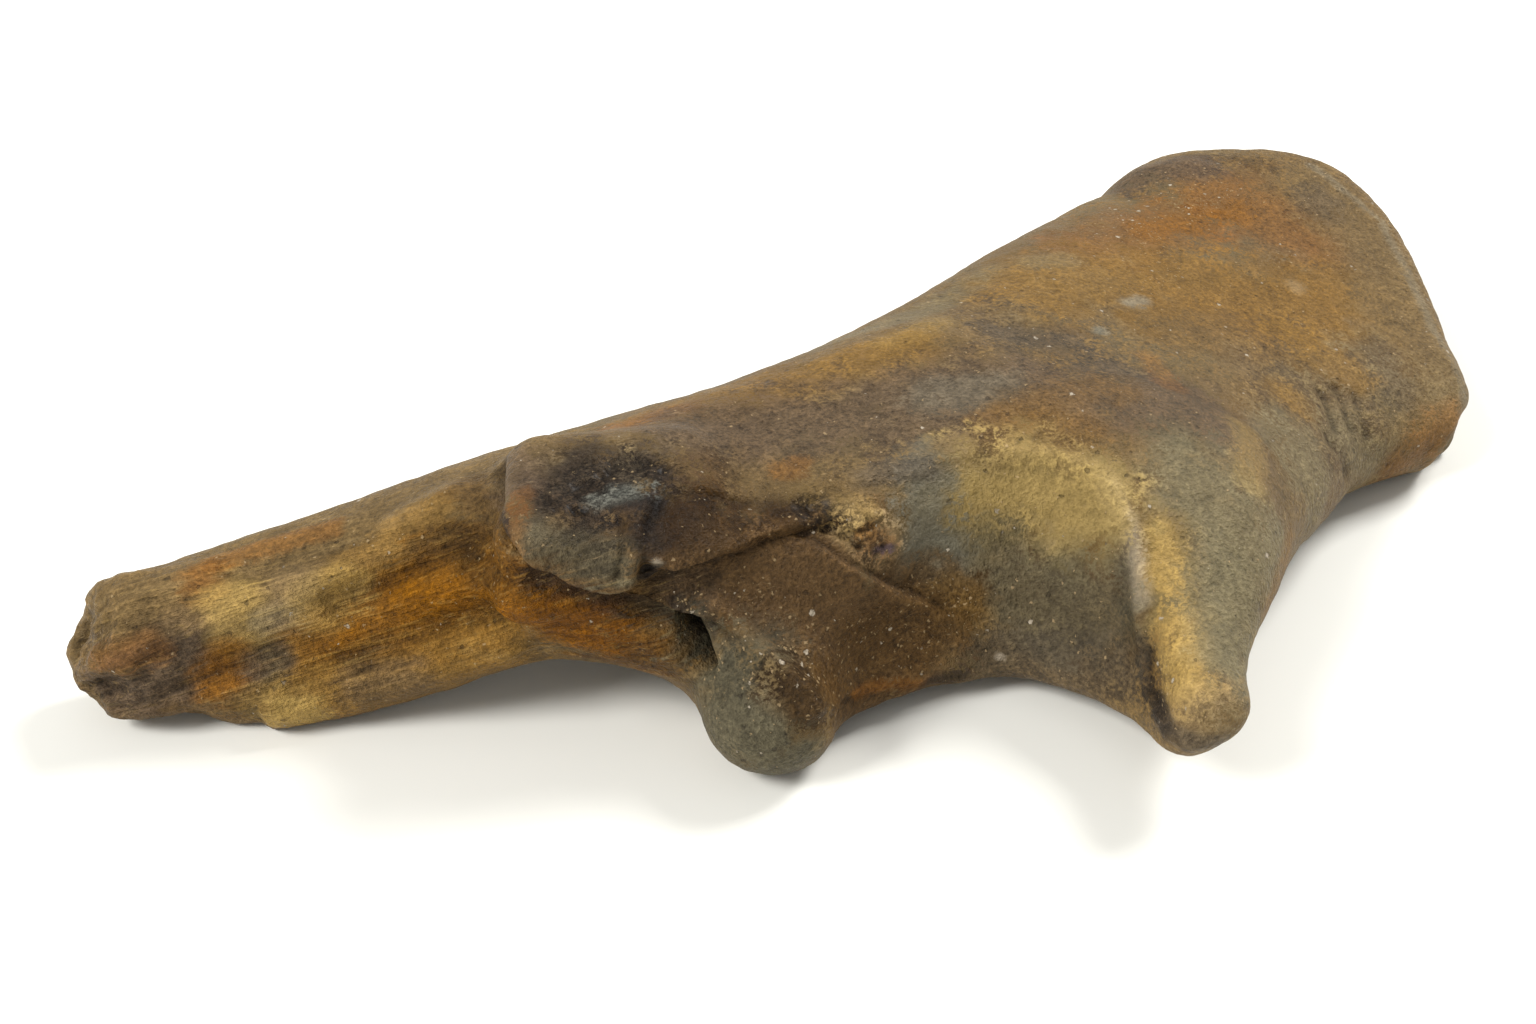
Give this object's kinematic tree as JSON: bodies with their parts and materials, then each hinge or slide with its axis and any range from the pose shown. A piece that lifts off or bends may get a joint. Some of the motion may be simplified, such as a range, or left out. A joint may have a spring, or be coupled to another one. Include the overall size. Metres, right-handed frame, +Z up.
{
  "type": "fossil bison ulna",
  "caption": "Right ulna of a bison lying on its side: flared olecranon blade, hooked trochlear notch, knobbed joint and a shaft broken off below, stained brown.",
  "frame": {"origin": "centre of the bounding box's footprint, on the surface that the bone lies on", "axes": "+X along the bone towards the olecranon, +Y towards its caudal border, +Z up, which is the bone's lateral side"},
  "size_m": [0.2614, 0.1296, 0.0414],
  "materials": {
    "bone": "satin, mottled brown, rust and grey-green"
  },
  "bodies": {
    "root": {"ulna": "bone"}
  },
  "joints": []
}
